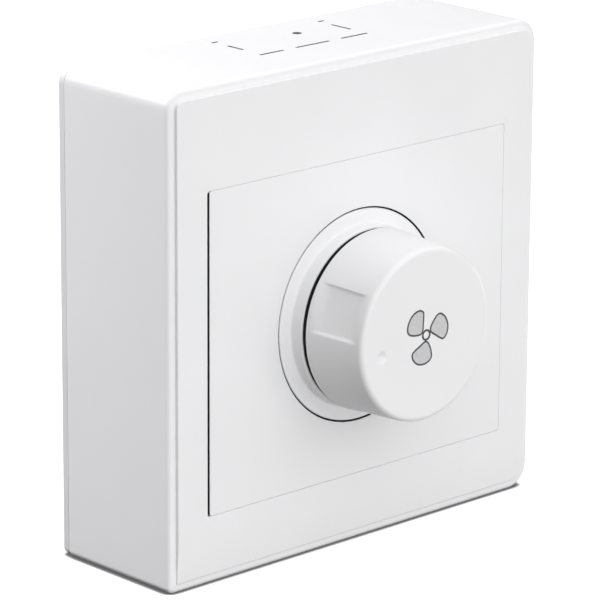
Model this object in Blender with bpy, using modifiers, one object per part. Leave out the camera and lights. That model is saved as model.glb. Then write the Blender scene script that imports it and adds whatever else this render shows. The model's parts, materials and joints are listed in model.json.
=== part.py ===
"""Surface-mounted rotary speed controller for a ventilation fan.

Frame: +Z up, the wall is the plane Y = 0 and the front faces -Y. The origin is the centre of the
rear plate's wall face. A "height" here is a distance from the wall, so a height h lies at Y = -h.
"""

import math

import bmesh
import bpy
from mathutils import Matrix, Vector

MM = 0.001
GAP = 0.3 * MM  # clearance kept between two pieces that rest on each other
COLLECTION_NAME = "fan_speed_controller"

# Case
CASE_SIDE = 86.0 * MM
CASE_CORNER = 3.6 * MM
CASE_WALL = 2.2 * MM
RIM_HEIGHT = 27.6 * MM  # the narrow step round the front
RIM_WIDTH = 1.6 * MM
FACE_HEIGHT = 28.25 * MM  # the raised front face
LEDGE_FRONT = 24.0 * MM  # floor of the recess under the centre panel
LEDGE_BACK = 21.0 * MM
CORE_HEIGHT = 25.6 * MM  # how far the case is hollow round the ledge

# Trunking knockout in the top and bottom walls: thin slots with bridges between them, and a pry
# hole. Each slot is (low x, high x, low height, high height), in millimetres.
KNOCKOUT_DEPTH = 0.8 * MM
KNOCKOUT_SLOTS = (
    (-13.0, -7.6, 16.8, 17.4),
    (-4.7, 3.0, 16.8, 17.4),
    (5.8, 12.0, 16.8, 17.4),
    (-12.7, -12.1, 8.4, 12.3),
    (11.7, 12.3, 8.2, 13.0),
    (-13.0, -11.6, 4.7, 5.3),
    (11.8, 13.2, 4.7, 5.3),
)
PRY_HOLE_RADIUS = 0.85 * MM
PRY_HOLE_X = 3.0 * MM
PRY_HOLE_HEIGHT = 9.1 * MM

# Rear plate
REAR_SIDE = 85.6 * MM
REAR_CORNER = 3.0 * MM
REAR_THICKNESS = 1.4 * MM
REAR_LIP_HEIGHT = 5.0 * MM
REAR_LIP_WALL = 1.4 * MM
CABLE_WAY = 30.0 * MM  # width of the gaps in the lip for a surface cable
CABLE_OPENING = (44.0 * MM, 30.0 * MM)
POST_RADIUS = 4.0 * MM
POST_HEIGHT = 19.4 * MM
WALL_SLOT = (11.0 * MM, 4.4 * MM)

# Centre panel, trim ring and knob
PANEL_WIDTH = 69.0 * MM
PANEL_TOP = 25.3 * MM
PANEL_BOTTOM = -30.9 * MM
PANEL_THICKNESS = 2.0 * MM
PANEL_LIP = 1.1 * MM
AXIS_Z = -2.5 * MM  # the knob's axis, at the middle of the centre panel
RING_RADIUS = 18.6 * MM
RING_FLANGE_RADIUS = 20.5 * MM
RING_BORE = 13.7 * MM
COLLAR_RADIUS = 15.9 * MM
COLLAR_HEIGHT = 30.7 * MM
LEDGE_OPENING = 18.0 * MM  # radius
HOOK_INSET = 1.9 * MM  # from the panel's sides
HOOK_BACK = 19.6 * MM
HOOK_THICKNESS = 1.0 * MM
HOOK_WIDTH = 5.0 * MM
BARB_DEPTH = 0.8 * MM
BARB_REACH = 1.0 * MM
KNOB_BACK = 31.6 * MM
KNOB_FRONT = 44.4 * MM
KNOB_BACK_RADIUS = 15.9 * MM
KNOB_FRONT_RADIUS = 15.15 * MM
KNOB_EDGE = 0.9 * MM  # rounding of the knob's front edge
KNOB_WALL = 2.2 * MM
KNOB_HUB_RADIUS = 4.6 * MM
KNOB_HUB_BACK = 34.0 * MM
KNOB_FACE_WALL = 1.8 * MM
POCKET_COUNT = 3
POCKET_FIRST = 160.0  # degrees, from +X towards +Z
POCKET_HALF_ANGLE = 15.5
POCKET_STEP = 0.45 * MM
POCKET_BACK = 33.0 * MM
POCKET_FRONT = 42.9 * MM
POCKET_CORNER = 0.8 * MM
DIMPLE_ANGLE = 190.6
DIMPLE_OFFSET = 10.5 * MM
DIMPLE_RADIUS = 1.1 * MM
DIMPLE_DEPTH = 0.4 * MM

# Potentiometer
SHAFT_RADIUS = 3.0 * MM
SHAFT_FLAT = 1.8 * MM  # distance of the flat from the axis
SHAFT_BACK = 13.9 * MM
SHAFT_FRONT = 41.6 * MM
NECK_RADIUS = 4.5 * MM
NECK_FRONT = 25.0 * MM
THREAD_PITCH = 0.75 * MM
THREAD_DEPTH = 0.3 * MM
CAN_RADIUS = 8.2 * MM
CAN_WALL = 0.7 * MM
CAN_BACK = 12.8 * MM
WAFER_BACK = 16.9 * MM
WAFER_FRONT = 17.9 * MM
FLANGE_BACK = 18.2 * MM
FLANGE_FRONT = 19.4 * MM
TAIL_HALF = 6.0 * MM
TAIL_LENGTH = 12.0 * MM  # from the axis
TAG_PITCH = 4.0 * MM

# Yoke, circuit board and module cover
SCREW_SPACING = 60.3 * MM  # between the two plate screws
PLATE_SCREW_HOLE = 2.05 * MM  # radius
YOKE_BACK = 19.7 * MM
YOKE_FRONT = 20.7 * MM
BOARD_BACK = 10.8 * MM
BOARD_FRONT = 12.4 * MM
BOARD_WIDTH = 48.0 * MM
BOARD_TOP = 30.0 * MM
BOARD_BOTTOM = -34.0 * MM
COVER_WALL = 1.4 * MM
COVER_BACK = 8.2 * MM
COVER_FRONT = 19.4 * MM
CORNER_X = 21.0 * MM
CORNER_TOP = 27.0 * MM
CORNER_BOTTOM = -31.0 * MM
MODULE_SCREW_HOLE = 1.55 * MM  # radius
PILLAR_RADIUS = 2.6 * MM
TRIAC_HOLE_Z = -17.8 * MM
TRIAC_HOLE_RADIUS = 1.8 * MM
TRIAC_HALF = 5.0 * MM
TRIAC_LEG_PITCH = 2.54 * MM

# Terminal block
TERMINAL_PITCH = 9.0 * MM
TERMINAL_HALF = 13.5 * MM
TERMINAL_BOTTOM = 12.0 * MM
TERMINAL_TOP = 22.0 * MM
TERMINAL_BACK = 2.3 * MM
TERMINAL_WIRE_HEIGHT = 7.9 * MM
TERMINAL_SCREW_Z = 17.0 * MM

ROUND = 48  # sides of a large turned piece
SMALL = 24
TINY = 16
WIRE = 8

SIDES = (("left", -1), ("right", 1))
CORNERS = tuple((way * CORNER_X, z) for z in (CORNER_TOP, CORNER_BOTTOM) for way in (-1, 1))
HOOKS = tuple(
    (way * (PANEL_WIDTH / 2 - HOOK_INSET), z) for way in (-1, 1) for z in (14 * MM, -19 * MM)
)

# name: (colour, roughness, metallic)
MATERIALS = {
    "white_plastic": ((0.86, 0.86, 0.87, 1.0), 0.35, 0.0),
    "cream_plastic": ((0.72, 0.70, 0.62, 1.0), 0.5, 0.0),
    "black_plastic": ((0.03, 0.03, 0.03, 1.0), 0.5, 0.0),
    "green_board": ((0.05, 0.22, 0.10, 1.0), 0.45, 0.0),
    "phenolic": ((0.32, 0.18, 0.08, 1.0), 0.6, 0.0),
    "yellow_film": ((0.75, 0.52, 0.08, 1.0), 0.4, 0.0),
    "blue_ceramic": ((0.10, 0.30, 0.50, 1.0), 0.4, 0.0),
    "ferrite": ((0.06, 0.06, 0.07, 1.0), 0.6, 0.0),
    "pad_grey": ((0.45, 0.47, 0.50, 1.0), 0.8, 0.0),
    "glass": ((0.85, 0.90, 0.92, 0.4), 0.05, 0.0),
    "zinc_steel": ((0.62, 0.63, 0.65, 1.0), 0.35, 1.0),
    "aluminium": ((0.75, 0.76, 0.78, 1.0), 0.4, 1.0),
    "brass": ((0.78, 0.60, 0.28, 1.0), 0.3, 1.0),
    "copper": ((0.72, 0.32, 0.14, 1.0), 0.35, 1.0),
}


def clear_scene():
    for obj in list(bpy.data.objects):
        bpy.data.objects.remove(obj, do_unlink=True)


clear_scene()
scene = bpy.context.scene
parts = bpy.data.collections.new(COLLECTION_NAME)
cutters = bpy.data.collections.new("cutters")
scene.collection.children.link(parts)
scene.collection.children.link(cutters)


# ---------------------------------------------------------------- helpers


def material(name):
    """The Principled material of that name, made on first use."""
    found = bpy.data.materials.get(name)
    if found:
        return found
    colour, roughness, metallic = MATERIALS[name]
    made = bpy.data.materials.new(name)
    made.use_nodes = True
    shader = made.node_tree.nodes["Principled BSDF"]
    shader.inputs["Base Color"].default_value = colour
    shader.inputs["Roughness"].default_value = roughness
    shader.inputs["Metallic"].default_value = metallic
    shader.inputs["Alpha"].default_value = colour[3]
    return made


def add_object(name, mesh, look=None):
    """Links the mesh as a part, or as a hidden cutter where it has no look."""
    obj = bpy.data.objects.new(name, mesh)
    if look:
        mesh.materials.append(material(look))
        parts.objects.link(obj)
    else:
        cutters.objects.link(obj)
        obj.hide_render = True
        obj.display_type = "WIRE"
    return obj


def finish_bmesh(name, bm, look, smooth=False):
    bmesh.ops.recalc_face_normals(bm, faces=bm.faces[:])
    mesh = bpy.data.meshes.new(name)
    bm.to_mesh(mesh)
    bm.free()
    if smooth:
        mesh.shade_smooth()
        mesh.set_sharp_from_angle(angle=math.radians(35))
    return add_object(name, mesh, look)


def block(name, low, high, look=None, corner=0.0, segments=4, edge=0.0):
    """A box between two (x, height, z) corners. Its four edges towards the front are rounded by
    corner, or all its edges are cut by edge."""
    low = Vector((low[0], -low[1], low[2]))
    high = Vector((high[0], -high[1], high[2]))
    size = high - low
    bm = bmesh.new()
    bmesh.ops.create_cube(bm, size=1.0)
    bmesh.ops.scale(bm, vec=[abs(side) for side in size], verts=bm.verts)
    if corner:
        long_edges = [
            e for e in bm.edges if abs((e.verts[0].co - e.verts[1].co).normalized().y) > 0.9
        ]
        bmesh.ops.bevel(
            bm, geom=long_edges, offset=corner, segments=segments, profile=0.5, affect="EDGES"
        )
    if edge:
        bmesh.ops.bevel(
            bm, geom=bm.edges[:], offset=edge, segments=1, profile=0.5, affect="EDGES"
        )
    bmesh.ops.translate(bm, vec=(low + high) / 2, verts=bm.verts)
    return finish_bmesh(name, bm, look)


def rod(name, radius, start, end, look=None, sides=SMALL):
    """A cylinder between two (x, height, z) points."""
    start = Vector((start[0], -start[1], start[2]))
    end = Vector((end[0], -end[1], end[2]))
    span = end - start
    bm = bmesh.new()
    bmesh.ops.create_cone(
        bm, cap_ends=True, segments=sides, radius1=radius, radius2=radius, depth=span.length
    )
    turn = Vector((0, 0, 1)).rotation_difference(span).to_matrix().to_4x4()
    bmesh.ops.transform(
        bm, matrix=Matrix.Translation((start + end) / 2) @ turn, verts=bm.verts
    )
    return finish_bmesh(name, bm, look, smooth=True)


def turned(name, outline, look=None, steps=SMALL, x=0.0, z=AXIS_Z, closed=True):
    """A piece turned about a line towards the front. Its outline is (radius, height) points.
    An outline that is not closed starts and ends on the axis."""
    mesh = bpy.data.meshes.new(name)
    points = [(radius, 0.0, height) for radius, height in outline]
    count = len(points)
    edges = [(i, (i + 1) % count) for i in range(count if closed else count - 1)]
    mesh.from_pydata(points, edges, [])
    obj = add_object(name, mesh, look)
    spin = obj.modifiers.new("turn", "SCREW")
    spin.axis = "Z"
    spin.angle = math.tau
    spin.steps = steps
    spin.render_steps = steps
    spin.use_merge_vertices = True
    spin.merge_threshold = 0.00001
    spin.use_smooth_shade = True
    obj.rotation_euler = (math.radians(90), 0, 0)
    obj.location = (x, 0, z)
    return obj


def tube(name, inner, outer, back, front, look=None, steps=SMALL, x=0.0, z=AXIS_Z):
    outline = [(outer, front), (outer, back), (inner, back), (inner, front)]
    return turned(name, outline, look, steps, x, z)


def boolean(obj, tool, operation):
    step = obj.modifiers.new(tool.name, "BOOLEAN")
    step.operation = operation
    step.solver = "EXACT"
    step.object = tool


def cut(obj, *tools):
    for tool in tools:
        boolean(obj, tool, "DIFFERENCE")


def join(obj, *tools):
    for tool in tools:
        boolean(obj, tool, "UNION")


def polar(radius, degrees):
    return radius * math.cos(math.radians(degrees)), radius * math.sin(math.radians(degrees))


# ---------------------------------------------------------------- case and rear plate


def square(name, half, corner, back, front, look=None):
    """A rounded square block on the case's centre line."""
    return block(name, (-half, back, -half), (half, front, half), look, corner, segments=6)


def knockout_cutters(side):
    """The slots and the pry hole of the knockout in the top (+1) or bottom (-1) wall."""
    surface = CASE_SIDE / 2
    low, high = sorted((side * (surface - KNOCKOUT_DEPTH), side * (surface + KNOCKOUT_DEPTH)))
    cutters_made = []
    for index, (left, right, back, front) in enumerate(KNOCKOUT_SLOTS):
        slot = block(
            f"knockout_slot_{side}_{index}",
            (left * MM, back * MM, low),
            (right * MM, front * MM, high),
        )
        cutters_made.append(slot)
    hole = rod(
        f"pry_hole_{side}",
        PRY_HOLE_RADIUS,
        (PRY_HOLE_X, PRY_HOLE_HEIGHT, low),
        (PRY_HOLE_X, PRY_HOLE_HEIGHT, high),
        sides=TINY,
    )
    return [*cutters_made, hole]


def make_housing():
    """The box and front frame in one moulding, open at the back, with a ledge under the panel."""
    half = CASE_SIDE / 2
    rear = REAR_THICKNESS + GAP
    housing = square("housing", half, CASE_CORNER, rear, RIM_HEIGHT, "white_plastic")
    face = square(
        "raised_face",
        half - RIM_WIDTH,
        CASE_CORNER - RIM_WIDTH,
        RIM_HEIGHT - 1 * MM,
        FACE_HEIGHT,
    )
    join(housing, face)
    inner = half - CASE_WALL
    hollow = square("hollow", inner, CASE_CORNER - CASE_WALL, -1 * MM, LEDGE_BACK)
    channel = square("channel", inner, CASE_CORNER - CASE_WALL, LEDGE_BACK - MM, CORE_HEIGHT)
    wall = CASE_WALL + GAP
    ledge = block(
        "ledge_core",
        (-PANEL_WIDTH / 2 - wall, 0, PANEL_BOTTOM - wall),
        (PANEL_WIDTH / 2 + wall, 50 * MM, PANEL_TOP + wall),
    )
    cut(channel, ledge)
    recess = block(
        "recess",
        (-PANEL_WIDTH / 2 - GAP, LEDGE_FRONT, PANEL_BOTTOM - GAP),
        (PANEL_WIDTH / 2 + GAP, 40 * MM, PANEL_TOP + GAP),
    )
    opening = rod(
        "ledge_opening", LEDGE_OPENING, (0, 18 * MM, AXIS_Z), (0, 26 * MM, AXIS_Z), sides=ROUND
    )
    cut(housing, hollow, channel, recess, opening)
    for name, side in SIDES:
        x = side * SCREW_SPACING / 2
        cut(housing, rod(f"hole_{name}", PLATE_SCREW_HOLE, (x, 18 * MM, 0), (x, 26 * MM, 0)))
    across = BARB_REACH + 0.4 * MM
    along = HOOK_WIDTH / 2 + MM
    for x, z in HOOKS:
        slot = block(
            f"hook_slot_{x:.3f}_{z:.3f}",
            (x - across, 18 * MM, z - along),
            (x + across, 26 * MM, z + along),
        )
        cut(housing, slot)
    for side in (1, -1):
        cut(housing, *knockout_cutters(side))


def make_rear_plate():
    """The plate that is screwed to the wall: a flat base, a locating lip, two screw posts, a
    cable opening and two wall-fixing slots."""
    plate = square("rear_plate", REAR_SIDE / 2, REAR_CORNER, 0, REAR_THICKNESS, "white_plastic")
    lip_half = CASE_SIDE / 2 - CASE_WALL - GAP
    lip = square("lip", lip_half, 1.5 * MM, REAR_THICKNESS - 0.5 * MM, REAR_LIP_HEIGHT)
    above_lip = REAR_LIP_HEIGHT + MM
    lip_inside = square("lip_inside", lip_half - REAR_LIP_WALL, 0.6 * MM, 0, above_lip)
    way_half = CABLE_WAY / 2
    cable_way = block("cable_way", (-way_half, 0, -CASE_SIDE), (way_half, above_lip, CASE_SIDE))
    cut(lip, lip_inside, cable_way)
    join(plate, lip)
    width, tall = CABLE_OPENING
    opening = block(
        "cable_opening",
        (-width / 2, -2 * MM, -tall / 2),
        (width / 2, 4 * MM, tall / 2),
        corner=4 * MM,
    )
    cut(plate, opening)
    slot_width, slot_tall = WALL_SLOT
    for name, side in SIDES:
        centre = side * SCREW_SPACING / 2
        post = rod(f"post_{name}", POST_RADIUS, (centre, MM, 0), (centre, POST_HEIGHT, 0))
        pilot = rod(
            f"pilot_{name}", PLATE_SCREW_HOLE, (centre, 6 * MM, 0), (centre, 22 * MM, 0)
        )
        join(plate, post)
        cut(plate, pilot)
        slot = block(
            f"wall_slot_{name}",
            (-slot_width / 2, -2 * MM, centre - slot_tall / 2),
            (slot_width / 2, 4 * MM, centre + slot_tall / 2),
            corner=slot_tall / 2 - 0.1 * MM,
        )
        cut(plate, slot)


# ---------------------------------------------------------------- panel, ring and knob


def make_centre_panel():
    """A shallow tray with four snap hooks and the ring's round hole."""
    back = FACE_HEIGHT - PANEL_THICKNESS
    half = PANEL_WIDTH / 2
    panel = block(
        "centre_panel",
        (-half, LEDGE_FRONT + GAP, PANEL_BOTTOM),
        (half, FACE_HEIGHT, PANEL_TOP),
        "white_plastic",
    )
    inside = block(
        "panel_inside",
        (-half + PANEL_LIP, 15 * MM, PANEL_BOTTOM + PANEL_LIP),
        (half - PANEL_LIP, back, PANEL_TOP - PANEL_LIP),
    )
    hole = rod(
        "panel_hole",
        RING_RADIUS + GAP,
        (0, 20 * MM, AXIS_Z),
        (0, 30 * MM, AXIS_Z),
        sides=ROUND,
    )
    cut(panel, inside, hole)
    arm_half = HOOK_THICKNESS / 2
    for x, z in HOOKS:
        inward = -math.copysign(1.0, x)
        low_z = z - HOOK_WIDTH / 2
        high_z = z + HOOK_WIDTH / 2
        arm = block(
            f"hook_{x:.3f}_{z:.3f}",
            (x - arm_half, HOOK_BACK, low_z),
            (x + arm_half, back + 0.5 * MM, high_z),
        )
        barb_low, barb_high = sorted((x - 0.4 * MM * inward, x + BARB_REACH * inward))
        barb = block(
            f"barb_{x:.3f}_{z:.3f}",
            (barb_low, HOOK_BACK, low_z),
            (barb_high, HOOK_BACK + BARB_DEPTH, high_z),
        )
        join(panel, arm, barb)


def make_trim_ring():
    """A stepped ring: a flange under the panel, a disc flush with it and a raised collar."""
    panel_back = FACE_HEIGHT - PANEL_THICKNESS
    outline = [
        (RING_BORE, COLLAR_HEIGHT),
        (COLLAR_RADIUS, COLLAR_HEIGHT),
        (COLLAR_RADIUS, FACE_HEIGHT),
        (RING_RADIUS, FACE_HEIGHT),
        (RING_RADIUS, panel_back - GAP),
        (RING_FLANGE_RADIUS, panel_back - GAP),
        (RING_FLANGE_RADIUS, LEDGE_FRONT + GAP),
        (RING_BORE, LEDGE_FRONT + GAP),
    ]
    turned("trim_ring", outline, "white_plastic", ROUND)


def knob_radius(height):
    """Outer radius of the knob's tapered side at a height."""
    share = (height - KNOB_BACK) / (KNOB_FRONT - KNOB_EDGE - KNOB_BACK)
    return KNOB_BACK_RADIUS + share * (KNOB_FRONT_RADIUS - KNOB_BACK_RADIUS)


def make_knob():
    """A hollow knob with a hub, a D-shaped bore, grip pockets and a marker dimple."""
    arc_steps = 4
    arc = []
    for i in range(arc_steps + 1):
        angle = math.radians(90 * (1 - i / arc_steps))
        arc.append(
            (
                KNOB_FRONT_RADIUS - KNOB_EDGE + KNOB_EDGE * math.cos(angle),
                KNOB_FRONT - KNOB_EDGE + KNOB_EDGE * math.sin(angle),
            )
        )
    ceiling = KNOB_FRONT - KNOB_FACE_WALL
    bore = SHAFT_RADIUS + GAP
    outline = [
        (0, KNOB_FRONT),
        *arc,
        (KNOB_BACK_RADIUS, KNOB_BACK),
        (KNOB_BACK_RADIUS - KNOB_WALL, KNOB_BACK),
        (KNOB_FRONT_RADIUS - KNOB_WALL, ceiling),
        (KNOB_HUB_RADIUS, ceiling),
        (KNOB_HUB_RADIUS, KNOB_HUB_BACK),
        (bore, KNOB_HUB_BACK),
        (bore, SHAFT_FRONT + GAP),
        (0, SHAFT_FRONT + GAP),
    ]
    knob = turned("knob", outline, "white_plastic", ROUND, closed=False)
    flat = block(
        "bore_flat",
        (-2.8 * MM, KNOB_HUB_BACK + 0.4 * MM, AXIS_Z + SHAFT_FLAT + GAP),
        (2.8 * MM, ceiling + 0.5 * MM, AXIS_Z + SHAFT_RADIUS + 0.8 * MM),
    )
    join(knob, flat)
    for index in range(POCKET_COUNT):
        cut(knob, pocket_cutter(index))
    cut(knob, dimple_cutter())


def pocket_cutter(index):
    """A block that leaves a flat-floored grip pocket, tilted with the knob's taper."""
    middle = (POCKET_BACK + POCKET_FRONT) / 2
    length = POCKET_FRONT - POCKET_BACK
    radius = knob_radius(middle)
    half_angle = math.radians(POCKET_HALF_ANGLE)
    floor = radius * math.cos(half_angle) - POCKET_STEP
    tall = 4 * MM
    width = 2 * radius * math.sin(half_angle)
    bm = bmesh.new()
    bmesh.ops.create_cube(bm, size=1.0)
    bmesh.ops.scale(bm, vec=(tall, length, width), verts=bm.verts)
    radial = [e for e in bm.edges if abs((e.verts[0].co - e.verts[1].co).x) > tall / 2]
    bmesh.ops.bevel(
        bm, geom=radial, offset=POCKET_CORNER, segments=3, profile=0.5, affect="EDGES"
    )
    taper = math.atan2(
        KNOB_BACK_RADIUS - KNOB_FRONT_RADIUS, KNOB_FRONT - KNOB_EDGE - KNOB_BACK
    )
    angle = math.radians(POCKET_FIRST + index * 360 / POCKET_COUNT)
    place = (
        Matrix.Translation((0, 0, AXIS_Z))
        @ Matrix.Rotation(-angle, 4, "Y")
        @ Matrix.Translation((floor, -middle, 0))
        @ Matrix.Rotation(-taper, 4, "Z")
        @ Matrix.Translation((tall / 2, 0, 0))
    )
    bmesh.ops.transform(bm, matrix=place, verts=bm.verts)
    return finish_bmesh(f"pocket_{index + 1}", bm, None)


def dimple_cutter():
    """A ball that leaves the round marker dimple in the knob's face."""
    ball = (DIMPLE_RADIUS**2 + DIMPLE_DEPTH**2) / (2 * DIMPLE_DEPTH)
    x, z = polar(DIMPLE_OFFSET, DIMPLE_ANGLE)
    bm = bmesh.new()
    bmesh.ops.create_uvsphere(bm, u_segments=SMALL, v_segments=TINY, radius=ball)
    centre = (x, -(KNOB_FRONT + ball - DIMPLE_DEPTH), AXIS_Z + z)
    bmesh.ops.translate(bm, vec=centre, verts=bm.verts)
    return finish_bmesh("dimple", bm, None)


def make_knob_clip():
    """A split spring ring round the knob's hub."""
    inner = KNOB_HUB_RADIUS + GAP
    back = KNOB_HUB_BACK + MM
    front = back + 4 * MM
    clip = tube("knob_clip", inner, inner + 0.6 * MM, back, front, "zinc_steel")
    split = block(
        "clip_split",
        (-1.2 * MM, back - MM, AXIS_Z - 8 * MM),
        (1.2 * MM, front + MM, AXIS_Z - 2 * MM),
    )
    cut(clip, split)


# ---------------------------------------------------------------- potentiometer


def make_shaft():
    outline = [
        (0, SHAFT_FRONT),
        (SHAFT_RADIUS - 0.4 * MM, SHAFT_FRONT),
        (SHAFT_RADIUS, SHAFT_FRONT - 0.4 * MM),
        (SHAFT_RADIUS, SHAFT_BACK),
        (0, SHAFT_BACK),
    ]
    shaft = turned("pot_shaft", outline, "aluminium", SMALL, closed=False)
    flat = block(
        "shaft_flat",
        (-4 * MM, 30 * MM, AXIS_Z + SHAFT_FLAT),
        (4 * MM, 45 * MM, AXIS_Z + 6 * MM),
    )
    cut(shaft, flat)


def make_bushing():
    """The threaded neck and its flange. Shallow ridges stand for the thread."""
    bore = SHAFT_RADIUS + GAP
    root = NECK_RADIUS - THREAD_DEPTH
    outline = [(bore, NECK_FRONT), (root, NECK_FRONT)]
    height = NECK_FRONT
    while height - THREAD_PITCH > YOKE_FRONT + GAP:
        outline.append((NECK_RADIUS, height - THREAD_PITCH * 0.35))
        outline.append((root, height - THREAD_PITCH * 0.9))
        height -= THREAD_PITCH
    outline += [
        (root, FLANGE_FRONT),
        (CAN_RADIUS, FLANGE_FRONT),
        (CAN_RADIUS, FLANGE_BACK),
        (bore, FLANGE_BACK),
    ]
    turned("pot_bushing", outline, "brass", SMALL)


def make_pot_cover():
    """The can behind the bushing, with a notch for the wafer's tail."""
    inside = CAN_RADIUS - CAN_WALL
    outline = [
        (0, CAN_BACK + CAN_WALL),
        (inside, CAN_BACK + CAN_WALL),
        (inside, WAFER_FRONT),
        (CAN_RADIUS, WAFER_FRONT),
        (CAN_RADIUS, CAN_BACK),
        (0, CAN_BACK),
    ]
    can = turned("pot_cover", outline, "zinc_steel", SMALL, closed=False)
    notch_half = TAIL_HALF + 0.4 * MM
    notch = block(
        "can_notch",
        (-notch_half, WAFER_BACK - MM, AXIS_Z - TAIL_LENGTH),
        (notch_half, 20 * MM, AXIS_Z - 3 * MM),
    )
    cut(can, notch)


def make_wafer():
    """The resistance wafer, with a tail that carries the three tags."""
    radius = CAN_RADIUS - CAN_WALL - GAP
    start = (0, WAFER_BACK, AXIS_Z)
    wafer = rod("pot_wafer", radius, start, (0, WAFER_FRONT, AXIS_Z), "phenolic")
    tail = block(
        "wafer_tail",
        (-TAIL_HALF, WAFER_BACK, AXIS_Z - TAIL_LENGTH),
        (TAIL_HALF, WAFER_FRONT, AXIS_Z - 3 * MM),
    )
    hole = rod("wafer_hole", 3.6 * MM, (0, 15 * MM, AXIS_Z), (0, 20 * MM, AXIS_Z))
    join(wafer, tail)
    cut(wafer, hole)
    for index in range(3):
        x = (index - 1) * TAG_PITCH
        z = AXIS_Z - TAIL_LENGTH + MM
        block(
            f"pot_tag_{index + 1}",
            (x - 0.6 * MM, BOARD_FRONT + GAP, z - 0.3 * MM),
            (x + 0.6 * MM, WAFER_BACK - GAP, z + 0.3 * MM),
            "zinc_steel",
        )


def make_rotor():
    """The rotor on the shaft's back end, and the spring wiper that it carries."""
    bore = SHAFT_RADIUS + GAP
    tube("pot_rotor", bore, 6.9 * MM, 14.3 * MM, 16.0 * MM, "black_plastic")
    wiper = tube("pot_wiper", 3.9 * MM, 6.1 * MM, 16.3 * MM, 16.6 * MM, "brass")
    sector = block(
        "wiper_gap",
        (-8 * MM, 15 * MM, AXIS_Z - 9 * MM),
        (8 * MM, 18 * MM, AXIS_Z - 1.2 * MM),
    )
    cut(wiper, sector)


def hexagon(name, across, bore, back, front, x, z, look):
    """A hexagon nut, by its width across flats."""
    bm = bmesh.new()
    radius = across / 2 / math.cos(math.radians(30))
    bmesh.ops.create_cone(
        bm, cap_ends=True, segments=6, radius1=radius, radius2=radius, depth=front - back
    )
    place = Matrix.Translation((x, -(back + front) / 2, z)) @ Matrix.Rotation(
        math.radians(90), 4, "X"
    )
    bmesh.ops.transform(bm, matrix=place, verts=bm.verts)
    nut = finish_bmesh(name, bm, look)
    cut(nut, rod(name + "_bore", bore, (x, back - MM, z), (x, front + MM, z)))


def make_pot():
    make_shaft()
    make_bushing()
    make_pot_cover()
    make_wafer()
    make_rotor()
    tube("pot_washer", 4.8 * MM, 7.4 * MM, 21.0 * MM, 21.6 * MM, "zinc_steel")
    hexagon("pot_nut", 11 * MM, 4.8 * MM, 21.9 * MM, 23.9 * MM, 0, AXIS_Z, "brass")


# ---------------------------------------------------------------- yoke, board and cover


def screw(name, head_radius, head, shank_radius, seat, tip, x, z, look, forwards=True):
    """A slotted pan-head screw along Y. The head lies in front of its seat, or behind it where
    forwards is False."""
    way = 1 if forwards else -1
    top = seat + way * head
    outline = [
        (0, top),
        (head_radius * 0.72, top),
        (head_radius, seat + way * head * 0.45),
        (head_radius, seat),
        (shank_radius, seat),
        (shank_radius, tip),
        (0, tip),
    ]
    if not forwards:
        outline.reverse()
    made = turned(name, outline, look, TINY, x, z, closed=False)
    low, high = sorted((top - way * head * 0.5, top + way * MM))
    slot = block(
        name + "_slot", (x - 0.4 * MM, low, z - 6 * MM), (x + 0.4 * MM, high, z + 6 * MM)
    )
    cut(made, slot)
    return made


def make_yoke():
    """The metal plate that carries the potentiometer and cools the triac."""
    yoke = block(
        "yoke",
        (-BOARD_WIDTH / 2, YOKE_BACK, BOARD_BOTTOM),
        (BOARD_WIDTH / 2, YOKE_FRONT, BOARD_TOP),
        "aluminium",
        corner=2 * MM,
    )
    ears = block(
        "yoke_ears",
        (-35 * MM, YOKE_BACK, -7 * MM),
        (35 * MM, YOKE_FRONT, 7 * MM),
        corner=2.5 * MM,
    )
    join(yoke, ears)
    holes = [(NECK_RADIUS + GAP, 0, AXIS_Z), (TRIAC_HOLE_RADIUS, 0, TRIAC_HOLE_Z)]
    holes += [(MODULE_SCREW_HOLE, x, z) for x, z in CORNERS]
    holes += [(PLATE_SCREW_HOLE, side * SCREW_SPACING / 2, 0) for _, side in SIDES]
    for index, (radius, x, z) in enumerate(holes):
        hole = rod(f"yoke_hole_{index}", radius, (x, 18 * MM, z), (x, 23 * MM, z), sides=TINY)
        cut(yoke, hole)


def make_plate_screws():
    for name, side in SIDES:
        x = side * SCREW_SPACING / 2
        screw(
            f"plate_screw_{name}",
            2.9 * MM,
            1.6 * MM,
            1.75 * MM,
            LEDGE_FRONT + GAP,
            8.0 * MM,
            x,
            0,
            "zinc_steel",
        )


def make_board():
    board = block(
        "circuit_board",
        (-BOARD_WIDTH / 2, BOARD_BACK, BOARD_BOTTOM),
        (BOARD_WIDTH / 2, BOARD_FRONT, BOARD_TOP),
        "green_board",
        corner=MM,
        segments=2,
    )
    for index, (x, z) in enumerate(CORNERS):
        hole = rod(f"board_hole_{index}", MODULE_SCREW_HOLE, (x, 9 * MM, z), (x, 14 * MM, z))
        cut(board, hole)
        tube(
            f"spacer_{index + 1}",
            MODULE_SCREW_HOLE,
            2.6 * MM,
            BOARD_FRONT + GAP,
            YOKE_BACK - GAP,
            "brass",
            TINY,
            x,
            z,
        )
        screw(
            f"module_screw_{index + 1}",
            2.3 * MM,
            1.4 * MM,
            1.25 * MM,
            COVER_BACK - GAP,
            20.4 * MM,
            x,
            z,
            "zinc_steel",
            forwards=False,
        )


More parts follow.
